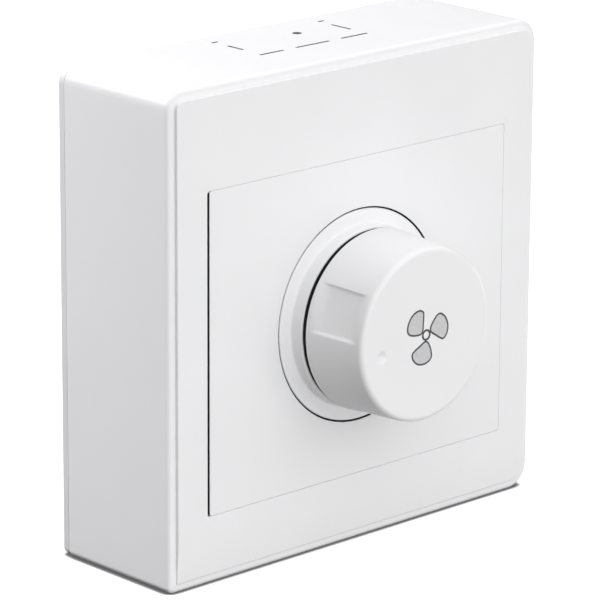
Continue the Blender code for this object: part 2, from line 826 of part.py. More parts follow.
def make_module_cover():
    """The insulating tray behind the board, with a window for the terminal block."""
    clear = 1.8 * MM
    half = BOARD_WIDTH / 2 + clear
    bottom = BOARD_BOTTOM - clear
    top = BOARD_TOP + clear
    cover = block(
        "module_cover",
        (-half, COVER_BACK, bottom),
        (half, COVER_FRONT, top),
        "cream_plastic",
        corner=2 * MM,
    )
    inside = block(
        "cover_inside",
        (-half + COVER_WALL, COVER_BACK + COVER_WALL, bottom + COVER_WALL),
        (half - COVER_WALL, 30 * MM, top - COVER_WALL),
        corner=MM,
        segments=2,
    )
    window = block(
        "cover_window",
        (-TERMINAL_HALF - GAP, 0, TERMINAL_BOTTOM - GAP),
        (TERMINAL_HALF + GAP, 15 * MM, TERMINAL_TOP + GAP),
    )
    cut(cover, inside, window)
    for index, (x, z) in enumerate(CORNERS):
        pillar = rod(
            f"pillar_{index}",
            PILLAR_RADIUS,
            (x, COVER_BACK + 0.5 * MM, z),
            (x, BOARD_BACK - GAP, z),
        )
        hole = rod(f"cover_hole_{index}", MODULE_SCREW_HOLE, (x, 5 * MM, z), (x, 15 * MM, z))
        join(cover, pillar)
        cut(cover, hole)


# ---------------------------------------------------------------- components on the board


def make_triac():
    """A power semiconductor under the yoke, with its insulating pad, screw and nut."""
    pad_front = YOKE_BACK - GAP
    pad_back = pad_front - 0.5 * MM
    tab_front = pad_back - GAP
    tab_top = TRIAC_HOLE_Z + 2.6 * MM
    body_top = TRIAC_HOLE_Z - 3.5 * MM
    body_bottom = body_top - 9 * MM
    half = TRIAC_HALF
    pad = block(
        "triac_pad",
        (-half - MM, pad_back, body_bottom - MM),
        (half + MM, pad_front, tab_top + 0.4 * MM),
        "pad_grey",
    )
    triac = block(
        "triac",
        (-half, tab_front - 4.4 * MM, body_bottom),
        (half, tab_front, body_top),
        "black_plastic",
        edge=0.3 * MM,
    )
    tab = block(
        "triac_tab",
        (-half, tab_front - 1.3 * MM, body_top - MM),
        (half, tab_front, tab_top),
    )
    join(triac, tab)
    for index in range(3):
        x = (index - 1) * TRIAC_LEG_PITCH
        leg_height = tab_front - 2.4 * MM
        run = block(
            f"leg_run_{index}",
            (x - 0.4 * MM, leg_height - 0.5 * MM, body_bottom - 1.8 * MM),
            (x + 0.4 * MM, leg_height, body_bottom + MM),
        )
        drop = block(
            f"leg_drop_{index}",
            (x - 0.4 * MM, BOARD_FRONT + GAP, body_bottom - 1.8 * MM),
            (x + 0.4 * MM, leg_height - 0.2 * MM, body_bottom - 1.3 * MM),
        )
        join(triac, run, drop)
    hole = rod(
        "triac_hole",
        TRIAC_HOLE_RADIUS,
        (0, 10 * MM, TRIAC_HOLE_Z),
        (0, 22 * MM, TRIAC_HOLE_Z),
        sides=TINY,
    )
    cut(triac, hole)
    cut(pad, hole)
    nut_front = tab_front - 1.3 * MM - GAP
    screw(
        "triac_screw",
        2.5 * MM,
        1.6 * MM,
        1.5 * MM,
        YOKE_FRONT + GAP,
        nut_front - 2.4 * MM,
        0,
        TRIAC_HOLE_Z,
        "zinc_steel",
    )
    hexagon(
        "triac_nut",
        5.5 * MM,
        1.8 * MM,
        nut_front - 2.2 * MM,
        nut_front,
        0,
        TRIAC_HOLE_Z,
        "zinc_steel",
    )


def make_choke():
    """A drum core and the winding between its flanges."""
    x = 13.5 * MM
    z = 15.5 * MM
    back = BOARD_FRONT + GAP
    front = 19.0 * MM
    flange = 1.3 * MM
    core = 3.2 * MM
    wide = 7.6 * MM
    outline = [
        (0, front),
        (wide, front),
        (wide, front - flange),
        (core, front - flange),
        (core, back + flange),
        (wide, back + flange),
        (wide, back),
        (0, back),
    ]
    turned("choke_core", outline, "ferrite", SMALL, x, z, closed=False)
    low = back + flange + GAP
    high = front - flange - GAP
    turns = 4
    pitch = (high - low) / turns
    winding = [(core + GAP, high)]
    for turn in range(turns):
        top = high - turn * pitch
        winding.append((6.6 * MM, top))
        winding.append((7.0 * MM, top - pitch / 2))
    winding += [(6.6 * MM, low), (core + GAP, low)]
    turned("choke_winding", winding, "copper", SMALL, x, z)


def make_axial(name, radius, length, x, z, look):
    """A component lying along Z with a lead down to the board at each end."""
    height = BOARD_FRONT + GAP + radius + 0.8 * MM
    low = z - length / 2
    high = z + length / 2
    part = rod(name, radius, (x, height, low), (x, height, high), look, TINY)
    wire = rod(
        name + "_wire",
        0.35 * MM,
        (x, height, low - 1.2 * MM),
        (x, height, high + 1.2 * MM),
        sides=WIRE,
    )
    join(part, wire)
    for end in (low - MM, high + MM):
        lead = rod(
            f"{name}_lead_{end:.4f}",
            0.4 * MM,
            (x, BOARD_FRONT + GAP, end),
            (x, height + 0.2 * MM, end),
            sides=WIRE,
        )
        join(part, lead)


def make_fuse():
    """A cartridge fuse lying along Z, in two spring clips."""
    x = -17.5 * MM
    height = 16.2 * MM
    low = -27 * MM
    high = -7 * MM
    cap = 5 * MM
    rod("fuse_tube", 2.3 * MM, (x, height, low + MM), (x, height, high - MM), "glass", TINY)
    for index, (end, way) in enumerate(((low, 1), (high, -1))):
        number = index + 1
        outer = rod(
            f"fuse_cap_{number}",
            2.8 * MM,
            (x, height, end),
            (x, height, end + way * cap),
            "zinc_steel",
            TINY,
        )
        inner = rod(
            f"cap_inside_{number}",
            2.6 * MM,
            (x, height, end + way * 0.7 * MM),
            (x, height, end + way * (cap + MM)),
            sides=TINY,
        )
        cut(outer, inner)
        middle = end + way * 2.5 * MM
        clip = block(
            f"fuse_clip_{number}",
            (x - 3.5 * MM, BOARD_FRONT + GAP, middle - 1.7 * MM),
            (x + 3.5 * MM, 18.6 * MM, middle + 1.7 * MM),
            "brass",
        )
        gap = block(
            f"clip_inside_{number}",
            (x - 3.1 * MM, BOARD_FRONT + GAP + 0.4 * MM, middle - 3 * MM),
            (x + 3.1 * MM, 22 * MM, middle + 3 * MM),
        )
        cut(clip, gap)


def make_components():
    bottom = BOARD_FRONT + GAP
    block(
        "film_capacitor",
        (-22.5 * MM, bottom, 11 * MM),
        (-6.5 * MM, 19.0 * MM, 20 * MM),
        "yellow_film",
        edge=0.5 * MM,
    )
    block(
        "timing_capacitor",
        (9 * MM, bottom, -28 * MM),
        (18 * MM, 18.2 * MM, -23.6 * MM),
        "blue_ceramic",
        edge=0.5 * MM,
    )
    make_axial("resistor_1", 1.6 * MM, 7 * MM, 11 * MM, -14 * MM, "cream_plastic")
    make_axial("resistor_2", 1.6 * MM, 7 * MM, 15.5 * MM, -14 * MM, "cream_plastic")
    make_axial("diac", 1.0 * MM, 4 * MM, 19.5 * MM, -13 * MM, "blue_ceramic")
    make_triac()
    make_choke()
    make_fuse()


# ---------------------------------------------------------------- terminals


def make_terminals():
    """A three-way block that reaches through the cover's window. Wires enter from below and
    the screws face the wall."""
    front = BOARD_BACK - GAP
    terminal = block(
        "terminal_block",
        (-TERMINAL_HALF, TERMINAL_BACK, TERMINAL_BOTTOM),
        (TERMINAL_HALF, front, TERMINAL_TOP),
        "black_plastic",
    )
    for index in range(3):
        number = index + 1
        x = (index - 1) * TERMINAL_PITCH
        chamber = block(
            f"chamber_{number}",
            (x - 3.3 * MM, 4.4 * MM, TERMINAL_BOTTOM - MM),
            (x + 3.3 * MM, front - 0.6 * MM, 20.6 * MM),
        )
        access = rod(
            f"access_{number}", 2.1 * MM, (x, 0, TERMINAL_SCREW_Z), (x, 6 * MM, TERMINAL_SCREW_Z)
        )
        cut(terminal, chamber, access)
        clamp = block(
            f"terminal_clamp_{number}",
            (x - 3.0 * MM, 4.7 * MM, TERMINAL_BOTTOM + 0.6 * MM),
            (x + 3.0 * MM, front - 0.9 * MM, 20.2 * MM),
            "brass",
        )
        bore = rod(
            f"clamp_bore_{number}",
            1.6 * MM,
            (x, TERMINAL_WIRE_HEIGHT, 10 * MM),
            (x, TERMINAL_WIRE_HEIGHT, 23 * MM),
            sides=TINY,
        )
        thread = rod(
            f"clamp_thread_{number}",
            1.4 * MM,
            (x, 3 * MM, TERMINAL_SCREW_Z),
            (x, TERMINAL_WIRE_HEIGHT, TERMINAL_SCREW_Z),
            sides=TINY,
        )
        cut(clamp, bore, thread)
        screw(
            f"terminal_screw_{number}",
            1.75 * MM,
            1.3 * MM,
            1.1 * MM,
            4.4 * MM,
            6.2 * MM,
            x,
            TERMINAL_SCREW_Z,
            "zinc_steel",
            forwards=False,
        )


make_rear_plate()
make_housing()
make_centre_panel()
make_trim_ring()
make_knob()
make_knob_clip()
make_pot()
make_yoke()
make_plate_screws()
make_board()
make_module_cover()
make_components()
make_terminals()
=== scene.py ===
"""Looks of the wall-mounted fan speed controller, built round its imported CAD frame.

Frame: metres, +Z up, the wall is Y = 0 and the front faces -Y. A "height" is a distance from the
wall, so a height h lies at Y = -h. Shape constants are in millimetres.
"""

import json
import math

import bmesh
import bpy
from mathutils import Matrix, Vector


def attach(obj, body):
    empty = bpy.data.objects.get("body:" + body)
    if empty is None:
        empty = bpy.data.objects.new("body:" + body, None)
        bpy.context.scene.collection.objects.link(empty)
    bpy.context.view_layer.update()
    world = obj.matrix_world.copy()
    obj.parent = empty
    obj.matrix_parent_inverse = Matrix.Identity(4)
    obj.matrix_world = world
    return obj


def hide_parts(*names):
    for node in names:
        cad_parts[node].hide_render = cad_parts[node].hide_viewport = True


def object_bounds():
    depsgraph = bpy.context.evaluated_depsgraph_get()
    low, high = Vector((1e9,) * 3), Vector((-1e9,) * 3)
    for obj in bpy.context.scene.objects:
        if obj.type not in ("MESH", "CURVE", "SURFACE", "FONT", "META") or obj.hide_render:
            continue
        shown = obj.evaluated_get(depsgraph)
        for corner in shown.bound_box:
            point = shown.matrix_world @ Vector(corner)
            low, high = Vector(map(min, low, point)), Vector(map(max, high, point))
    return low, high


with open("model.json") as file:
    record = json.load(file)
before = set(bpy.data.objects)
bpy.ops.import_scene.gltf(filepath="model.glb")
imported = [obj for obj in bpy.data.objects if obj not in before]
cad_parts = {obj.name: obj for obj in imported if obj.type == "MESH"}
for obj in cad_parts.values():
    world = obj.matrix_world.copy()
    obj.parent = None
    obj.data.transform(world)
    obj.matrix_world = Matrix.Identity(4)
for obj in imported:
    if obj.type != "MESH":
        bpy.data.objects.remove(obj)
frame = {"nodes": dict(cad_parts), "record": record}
cad_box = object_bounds()

MM = 0.001
scene = bpy.context.scene

SHARP_ANGLE = math.radians(50)  # edges sharper than this are kept crisp or rounded off
CLEARANCE = 0.3  # between two pieces where it doesn't show

# Case
CASE_HALF = 43.0
CASE_CORNERS = (4.2, 3.1, 1.3, 4.4)  # top right, top left, bottom left, bottom right
CASE_WALL = 2.2
CASE_BACK = 1.7
RIM_HEIGHT = 27.6  # the narrow step round the front
RIM_WIDTH = 1.6
FACE_HEIGHT = 28.25  # the raised front face
FOOT_TOP = -34.0  # where the raised face starts to curve back towards its foot
FOOT_FALL = 0.6  # the share of its rise that it loses there
LEDGE_FRONT = 24.0  # floor of the recess under the centre panel
LEDGE_BACK = 21.0
LEDGE_OPENING = 18.0  # radius
LEDGE_WALL = 2.5
RECESS_CORNER = 0.5
CORE_HEIGHT = 25.6  # how far the case is hollow round the ledge
SCREW_SPACING = 60.3
SCREW_HOLE_RADIUS = 2.05

# Trunking knockout: (low x, high x, low height, high height) of each slot, and the pry hole
KNOCKOUT_DEPTH = 0.8
KNOCKOUT_REACH = (14.0, 18.0)  # half width and height that every slot lies within
KNOCKOUT_SLOTS = (
    (-13.0, -7.6, 16.8, 17.4),
    (-4.7, 3.0, 16.8, 17.4),
    (5.8, 12.0, 16.8, 17.4),
    (-12.7, -12.1, 8.4, 12.3),
    (11.7, 12.3, 8.2, 13.0),
    (-13.0, -11.6, 4.7, 5.3),
    (11.8, 13.2, 4.7, 5.3),
)
PRY_HOLE = (3.0, 9.1, 0.85)  # x, height, radius

# Rear plate
REAR_HALF = 42.8
REAR_THICKNESS = 1.56
REAR_LIP_HEIGHT = 5.0
REAR_LIP_WALL = 1.4
CABLE_WAY = 30.0  # width of the gaps in the lip for a surface cable
CABLE_OPENING = (22.0, 15.0)  # half width and half height
WALL_SLOT = (5.5, 2.2)  # the same, of each slot for a wall screw
POST_RADIUS = 4.0
POST_HEIGHT = 19.4
EJECTOR_MARKS = ((33.0, 33.0, 2.6), (33.0, 14.0, 1.6))  # x, z and radius of one corner's two
EJECTOR_DEPTH = 0.12

# Centre panel and its gaps in the recess
PANEL_LEFT = -34.33
PANEL_RIGHT = 34.68
PANEL_TOP = 25.3
PANEL_BOTTOM = -30.9
PANEL_THICKNESS = 2.0
PANEL_LIP = 1.1
PANEL_BACK = 24.3
GAP_LEFT = 0.5
GAP_RIGHT = 0.03
GAP_ENDS = 0.03
HOOK_X = 32.6
HOOK_PLACES = (14.0, -19.0)
HOOK_BACK = 19.6
HOOK_WIDTH = 5.0
HOOK_THICKNESS = 1.0
HOOK_SLOT = (1.4, 3.5)  # half width and half height of the slot that a hook passes through

# Trim ring and knob
AXIS_Z = -2.5  # the knob's axis
RING_RADIUS = 18.6
RING_GAP = 0.28  # between the ring and the panel's round hole
RING_FLANGE_RADIUS = 20.5
RING_BORE = 13.7
COLLAR_RADIUS = 15.9
COLLAR_HEIGHT = 30.7
KNOB_BACK = 31.6
KNOB_FRONT = 44.4
KNOB_BACK_RADIUS = 15.9
KNOB_FRONT_RADIUS = 15.15
KNOB_EDGE = 0.9
KNOB_WALL = 2.2
KNOB_FACE_WALL = 1.8
KNOB_HUB_RADIUS = 4.6
KNOB_HUB_BACK = 34.0
KNOB_BORE = 3.3
KNOB_BORE_FRONT = 41.9
KNOB_STEPS = 480  # points round the knob
POCKET_ANGLES = (160.0, 280.0, 40.0)
POCKET_HALF_ANGLE = 15.5
POCKET_STEP = 0.45
POCKET_BACK = 32.2
POCKET_FRONT = 43.4
POCKET_SOFTNESS = 0.3  # width of the rounded edge at the two sides
POCKET_RUN_OUT = 2.6  # length over which the ends fade out
DIMPLE_ANGLE = 190.6
DIMPLE_OFFSET = 10.5
DIMPLE_RADIUS = 1.1
DIMPLE_DEPTH = 0.35

# Fan mark: one blade as (radius, degrees from its middle), and the three blades' middles
BLADE = (
    (1.10, -8.0),
    (2.21, -31.0),
    (3.36, -38.0),
    (4.30, -38.0),
    (4.99, -27.0),
    (5.30, -10.0),
    (5.20, 8.0),
    (4.83, 24.0),
    (4.20, 33.0),
    (3.15, 37.0),
    (2.10, 38.0),
    (1.21, 30.0),
)
BLADE_ANGLES = (17.0, 137.0, 257.0)
MARK_LINE = 0.3  # width of the outline
MARK_HUB = (0.64, 1.0)  # inner and outer radius of the hub's outline
MARK_BACK = KNOB_FRONT - 0.05  # the ink reaches this far into the knob
FILL_FRONT = KNOB_FRONT + 0.03
LINE_FRONT = KNOB_FRONT + 0.048

# ---------------------------------------------------------------- camera and light settings

AIM = Vector((-6.951, -20.795, -0.163)) * MM
CAMERA_AZIMUTH = math.radians(43.21)  # to the left of straight on
CAMERA_ELEVATION = math.radians(16.396)
CAMERA_ROLL = math.radians(0.303)
CAMERA_DISTANCE = 703.6 * MM
LENS = 247.23  # mm, on a 36 mm sensor

# Soft panels of the studio: the direction of each, how narrow it is, and its strength
STUDIO_PANELS = (
    ((0.0, -1.0, 0.0), 6.0, 2.41),
    ((0.0, 0.0, 1.0), 1.0, 1.44),
    ((-1.0, 0.0, 0.0), 1.0, 0.04),
)

# The floor's painted contact shadow, a darkening driven by ambient occlusion
CONTACT_REACH = 1.5
CONTACT_DARKEST = 0.12  # a grey, of the paper's 0.94


def make_camera():
    data = bpy.data.cameras.new("camera")
    data.lens = LENS
    data.sensor_width = 36.0
    data.clip_start = 0.01
    data.clip_end = 20.0
    camera = bpy.data.objects.new("camera", data)
    scene.collection.objects.link(camera)
    outward = Vector(
        (
            -math.sin(CAMERA_AZIMUTH) * math.cos(CAMERA_ELEVATION),
            -math.cos(CAMERA_AZIMUTH) * math.cos(CAMERA_ELEVATION),
            math.sin(CAMERA_ELEVATION),
        )
    )
    camera.location = AIM + outward * CAMERA_DISTANCE
    aim = (-outward).to_track_quat("-Z", "Y").to_matrix()
    roll = Matrix.Rotation(CAMERA_ROLL, 3, "Z")
    camera.rotation_euler = (aim @ roll).to_euler()
    scene.camera = camera


# ---------------------------------------------------------------- materials


class Nodes:
    """Adds and links the nodes of one material."""

    def __init__(self, name):
        self.material = bpy.data.materials.new(name)
        self.material.use_nodes = True
        self.tree = self.material.node_tree
        self.shader = self.tree.nodes["Principled BSDF"]

    def add(self, kind, settings=(), **inputs):
        node = self.tree.nodes.new(kind)
        for key, value in dict(settings).items():
            setattr(node, key, value)
        for key, value in inputs.items():
            self.feed(node.inputs[key.replace("_", " ")], value)
        return node

    def feed(self, socket, value):
        if isinstance(value, bpy.types.NodeSocket):
            self.tree.links.new(value, socket)
        else:
            socket.default_value = value

    def set(self, **inputs):
        for key, value in inputs.items():
            self.feed(self.shader.inputs[key.replace("_", " ")], value)

    def place(self):
        return self.add("ShaderNodeTexCoord").outputs["Object"]

    def stretched(self, scale):
        mapping = self.add("ShaderNodeMapping", Vector=self.place())
        mapping.inputs["Scale"].default_value = scale
        return mapping.outputs["Vector"]

    def noise(self, scale, detail=3.0, vector=None):
        found = self.add("ShaderNodeTexNoise", Vector=vector or self.place())
        found.inputs["Scale"].default_value = scale
        found.inputs["Detail"].default_value = detail
        return found.outputs["Fac"]

    def ramp(self, fac, *stops, interpolation="LINEAR"):
        """A colour ramp through (position, colour or grey) stops."""
        node = self.add("ShaderNodeValToRGB", Fac=fac)
        node.color_ramp.interpolation = interpolation
        elements = node.color_ramp.elements
        while len(elements) < len(stops):
            elements.new(0.5)
        for element, (position, value) in zip(elements, stops):
            element.position = position
            element.color = rgba(value)
        return node.outputs["Color"]

    def span(self, value, low, high, source=(0.3, 0.7)):
        node = self.add("ShaderNodeMapRange", Value=value)
        node.inputs["From Min"].default_value = source[0]
        node.inputs["From Max"].default_value = source[1]
        node.inputs["To Min"].default_value = low
        node.inputs["To Max"].default_value = high
        return node.outputs["Result"]

    def bump(self, height, distance, normal=None):
        node = self.add("ShaderNodeBump", Height=height)
        node.inputs["Distance"].default_value = distance
        node.inputs["Strength"].default_value = 1.0
        if normal:
            self.feed(node.inputs["Normal"], normal)
        return node.outputs["Normal"]


def rgba(value):
    if isinstance(value, (int, float)):
        return (value, value, value, 1.0)
    return (*value[:3], 1.0)


def shade(colour, factor):
    return tuple(min(1.0, channel * factor) for channel in colour)


def moulded_plastic(name, colour, roughness, grain=0.004, variation=0.012):
    """Moulded plastic: faint cloudiness in the colour, uneven gloss, a very fine skin texture
    and the slow waviness that sink marks leave."""
    n = Nodes(name)
    cloud = n.noise(55.0, 2.0)
    colour_node = n.ramp(
        cloud, (0.3, shade(colour, 1.0 - variation)), (0.7, shade(colour, 1.0 + variation))
    )
    gloss = n.noise(420.0, 4.0)
    skin = n.noise(5200.0, 2.0)
    wave = n.noise(95.0, 1.0)
    slow = n.bump(wave, 0.02 * MM)
    fine = n.bump(skin, grain * MM, normal=slow)
    n.set(
        Base_Color=colour_node,
        Roughness=n.span(gloss, roughness - 0.03, roughness + 0.04),
        Normal=fine,
    )
    return n.material


def printed_ink(name, colour, roughness):
    """Pad-printed ink with a slightly uneven film."""
    n = Nodes(name)
    film = n.noise(2600.0, 3.0)
    n.set(
        Base_Color=n.ramp(film, (0.35, shade(colour, 0.94)), (0.65, shade(colour, 1.06))),
        Roughness=n.span(film, roughness - 0.05, roughness + 0.06),
        Normal=n.bump(film, 0.004 * MM),
    )
    return n.material


def worked_metal(name, colour, roughness, stretch, tarnish=0.12):
    """Metal with fine marks along one direction and faint tarnish in patches."""
    n = Nodes(name)
    marks = n.noise(900.0, 3.0, n.stretched(stretch))
    patches = n.noise(140.0, 4.0)
    n.set(
        Base_Color=n.ramp(patches, (0.35, shade(colour, 1.0 - tarnish)), (0.62, colour)),
        Metallic=1.0,
        Roughness=n.span(marks, roughness - 0.08, roughness + 0.12),
        Normal=n.bump(marks, 0.006 * MM),
    )
    return n.material


def circuit_board(name):
    """Green solder mask over paler copper tracks, with a glass-cloth weave."""
    n = Nodes(name)
    tracks = n.add("ShaderNodeTexVoronoi", {"feature": "DISTANCE_TO_EDGE"}, Vector=n.place())
    tracks.inputs["Scale"].default_value = 210.0
    edge = n.ramp(
        tracks.outputs["Distance"], (0.10, (0.02, 0.15, 0.06)), (0.14, (0.05, 0.27, 0.12))
    )
    weave = n.add("ShaderNodeTexWave", {"bands_direction": "X"}, Vector=n.place())
    weave.inputs["Scale"].default_value = 620.0
    weave.inputs["Distortion"].default_value = 0.6
    n.set(
        Base_Color=edge,
        Roughness=n.span(n.noise(300.0), 0.3, 0.45),
        Normal=n.bump(weave.outputs["Fac"], 0.008 * MM),
    )
    return n.material


def speckled(name, colour, other, roughness, scale, relief):
    """A rough pressed or dipped body with specks of a second colour."""
    n = Nodes(name)
    specks = n.noise(scale, 4.0)
    n.set(
        Base_Color=n.ramp(specks, (0.42, other), (0.56, colour)),
        Roughness=n.span(specks, roughness - 0.06, roughness + 0.08),
        Normal=n.bump(specks, relief * MM),
    )
    return n.material


def wound_copper(name):
    """Enamelled wire lying in turns side by side."""
    n = Nodes(name)
    turns = n.add("ShaderNodeTexWave", {"bands_direction": "Y"}, Vector=n.place())
    turns.inputs["Scale"].default_value = 330.0
    wire = turns.outputs["Fac"]
    # Painted shade: the colour darkens towards the grooves between turns, where the bump is
    # lowest
    n.set(
        Base_Color=n.ramp(wire, (0.15, (0.22, 0.06, 0.02)), (0.6, (0.78, 0.33, 0.13))),
        Metallic=1.0,
        Roughness=n.span(wire, 0.45, 0.28, (0.0, 1.0)),
        Normal=n.bump(wire, 0.15 * MM),
    )
    return n.material


def banded_resistor(name):
    """A lacquered resistor body with four colour bands across its length."""
    n = Nodes(name)
    split = n.add("ShaderNodeSeparateXYZ", Vector=n.place())
    body = (0.70, 0.55, 0.34)
    along = n.span(split.outputs["Z"], 0.0, 1.0, (-0.0175, -0.0105))
    bands = (
        (0.0, body),
        (0.16, (0.25, 0.10, 0.03)),
        (0.26, body),
        (0.36, (0.03, 0.03, 0.03)),
        (0.46, body),
        (0.56, (0.75, 0.25, 0.04)),
        (0.66, body),
        (0.82, (0.72, 0.52, 0.16)),
        (0.92, body),
    )
    lacquer = n.noise(700.0)
    n.set(
        Base_Color=n.ramp(along, *bands, interpolation="CONSTANT"),
        Roughness=n.span(lacquer, 0.28, 0.4),
        Normal=n.bump(lacquer, 0.01 * MM),
    )
    return n.material


def clear_glass(name):
    """Fuse glass with faint drawing lines along the tube."""
    n = Nodes(name)
    lines = n.noise(800.0, 2.0, n.stretched((1.0, 1.0, 0.05)))
    n.set(
        Base_Color=(0.95, 0.98, 0.98, 1.0),
        Roughness=n.span(lines, 0.02, 0.07),
        Normal=n.bump(lines, 0.004 * MM),
    )
    n.shader.inputs["Transmission Weight"].default_value = 1.0
    n.shader.inputs["IOR"].default_value = 1.47
    return n.material


def make_materials():
    """One procedural material for each of the record's slots, two that stand for the shade deep
    in gaps and slots, and two for the fan mark."""
    white = (0.862, 0.862, 0.868)
    turned = (0.08, 1.0, 0.08)
    sheet = (0.06, 1.0, 1.0)
    return {
        "case_white": moulded_plastic("case_white", white, 0.34),
        "panel_white": moulded_plastic("panel_white", white, 0.36),
        # ring_white is a lighter copy of the case's white, painted light that offsets the shade
        # the knob and collar cast on the ring
        "ring_white": moulded_plastic("ring_white", (0.905, 0.905, 0.911), 0.33),
        "knob_white": moulded_plastic("knob_white", (0.865, 0.865, 0.871), 0.32),
        "rear_white": moulded_plastic("rear_white", (0.80, 0.80, 0.81), 0.55, grain=0.012),
        "cover_cream": moulded_plastic("cover_cream", (0.72, 0.70, 0.62), 0.52, grain=0.012),
        "terminal_black": moulded_plastic("terminal_black", (0.03, 0.03, 0.032), 0.48, 0.01, 0.1),
        "component_black": speckled(
            "component_black", (0.035, 0.035, 0.037), (0.055, 0.055, 0.057), 0.55, 2600.0, 0.01
        ),
        "board_green": circuit_board("board_green"),
        "wafer_brown": speckled(
            "wafer_brown", (0.34, 0.19, 0.08), (0.20, 0.10, 0.04), 0.6, 1500.0, 0.008
        ),
        "film_yellow": moulded_plastic("film_yellow", (0.75, 0.50, 0.07), 0.34, 0.006, 0.05),
        "ceramic_blue": speckled(
            "ceramic_blue", (0.10, 0.30, 0.52), (0.06, 0.22, 0.42), 0.36, 900.0, 0.03
        ),
        "resistor_beige": banded_resistor("resistor_beige"),
        "ferrite_dark": speckled(
            "ferrite_dark", (0.055, 0.055, 0.062), (0.10, 0.10, 0.11), 0.62, 3200.0, 0.02
        ),
        "pad_grey": speckled(
            "pad_grey", (0.45, 0.47, 0.50), (0.38, 0.40, 0.43), 0.8, 1900.0, 0.02
        ),
        "fuse_glass": clear_glass("fuse_glass"),
        "zinc_steel": worked_metal("zinc_steel", (0.64, 0.65, 0.67), 0.32, turned),
        "yoke_aluminium": worked_metal("yoke_aluminium", (0.77, 0.78, 0.80), 0.42, sheet),
        "shaft_aluminium": worked_metal("shaft_aluminium", (0.80, 0.81, 0.82), 0.30, turned),
        "brass": worked_metal("brass", (0.80, 0.61, 0.28), 0.28, turned, 0.2),
        "copper_wire": wound_copper("copper_wire"),
        # deep_shade and slot_shade are painted shade: a near-black and a grey copy of the
        # plastic, put on faces deep in gaps and slots
        "deep_shade": moulded_plastic("deep_shade", (0.03, 0.03, 0.031), 0.7, 0.01, 0.1),
        "slot_shade": moulded_plastic("slot_shade", (0.22, 0.22, 0.223), 0.6, 0.01, 0.1),
        "mark_grey": printed_ink("mark_grey", (0.58, 0.58, 0.585), 0.5),
        "mark_dark": printed_ink("mark_dark", (0.035, 0.035, 0.037), 0.5),
    }


make_camera()
materials = make_materials()


def dress_cad_nodes():
    """Gives every CAD node the procedural material of its slot."""
    for entry in frame["record"]["subparts"]:
        node = frame["nodes"][entry["node"]]
        node.data.materials.clear()
        node.data.materials.append(materials[entry["material_slot"]])


# ---------------------------------------------------------------- mesh helpers


def rounded_rect(left, right, low, high, corner, height, arc=8, side=24):
    """A rounded rectangle at a height, with one corner radius or four, from the top right
    round to the bottom right by the top left. Every such loop has the same number of points,
    in the same order, so that loops join into quads."""
    radii = corner if isinstance(corner, tuple) else (corner,) * 4
    places = ((right, high), (left, high), (left, low), (right, low))
    ways = ((-1, -1), (1, -1), (1, 1), (-1, 1))
    arcs = []
    for index, ((x, z), (way_x, way_z), radius) in enumerate(zip(places, ways, radii)):
        radius = max(radius, 0.02)
        angles = [math.radians(90 * index + 90 * k / arc) for k in range(arc + 1)]
        arcs.append(
            [
                (x + radius * (way_x + math.cos(a)), z + radius * (way_z + math.sin(a)))
                for a in angles
            ]
        )
    points = []
    for index, bend in enumerate(arcs):
        points += bend
        (x0, z0), (x1, z1) = bend[-1], arcs[(index + 1) % 4][0]
        for k in range(1, side):
            share = k / side
            points.append((x0 + (x1 - x0) * share, z0 + (z1 - z0) * share))
    return [Vector((x, -height, z)) for x, z in points]


def circle_like(loop, radius, height):
    """A circle on the knob's axis whose points lie in the same directions as a loop's."""
    points = []
    for point in loop:
        angle = math.atan2(point.z - AXIS_Z, point.x)
        points.append(
            Vector((radius * math.cos(angle), -height, AXIS_Z + radius * math.sin(angle)))
        )
    return points


def edge_arc(radius, steps=4):
    """(inset, drop) pairs that round an outer edge, from the side wall to the front face."""
    pairs = []
    for k in range(steps + 1):
        angle = math.radians(90 * k / steps)
        pairs.append((radius * (1 - math.cos(angle)), radius * (1 - math.sin(angle))))
    return pairs


def loft(name, loops):
    """A closed shell of quads through the loops, the last of which joins the first."""
    bm = bmesh.new()
    rings = [[bm.verts.new(point * MM) for point in loop] for loop in loops]
    count = len(loops[0])
    for index, ring in enumerate(rings):
        following = rings[(index + 1) % len(rings)]
        for k in range(count):
            after = (k + 1) % count
            bm.faces.new((ring[k], ring[after], following[after], following[k]))
    return new_object(name, bm)


def new_object(name, bm):
    bmesh.ops.recalc_face_normals(bm, faces=bm.faces[:])
    mesh = bpy.data.meshes.new(name)
    bm.to_mesh(mesh)
    bm.free()
    obj = bpy.data.objects.new(name, mesh)
    scene.collection.objects.link(obj)
    return obj


def box_into(bm, low, high, corner=0.0):
    """Adds a box between two (x, height, z) corners, its edges along Y rounded by corner."""
    loops = [
        rounded_rect(low[0], high[0], low[2], high[2], corner, height, arc=6, side=1)
        for height in (low[1], high[1])
    ]
    prism_into(bm, loops)


def prism_into(bm, loops):
    rings = [[bm.verts.new(point * MM) for point in loop] for loop in loops]
    count = len(rings[0])
    for first, second in zip(rings, rings[1:]):
        for k in range(count):
            after = (k + 1) % count
            bm.faces.new((first[k], first[after], second[after], second[k]))
    bm.faces.new(rings[0])
    bm.faces.new(rings[-1])


def cylinder_into(bm, x, z, radius, back, front):
    sides = 48
    loops = []
    for height in (back, front):
        angles = [math.tau * k / sides for k in range(sides)]
        loops.append(
            [
                Vector((x + radius * math.cos(a), -height, z + radius * math.sin(a)))
                for a in angles
            ]
        )
    prism_into(bm, loops)


def boolean(obj, bm, operation):
    """Cuts or joins what bm holds, in pieces that don't touch each other."""
    tool = new_object(obj.name + "_tool", bm)
    step = obj.modifiers.new(operation.lower(), "BOOLEAN")
    step.operation = operation
    step.solver = "EXACT"
    step.object = tool
    settle(obj)
    bpy.data.objects.remove(tool, do_unlink=True)


def settle(obj):
    """Applies the object's modifiers to its mesh."""
    graph = bpy.context.evaluated_depsgraph_get()
    mesh = bpy.data.meshes.new_from_object(obj.evaluated_get(graph))
    obj.modifiers.clear()
    obj.data = mesh


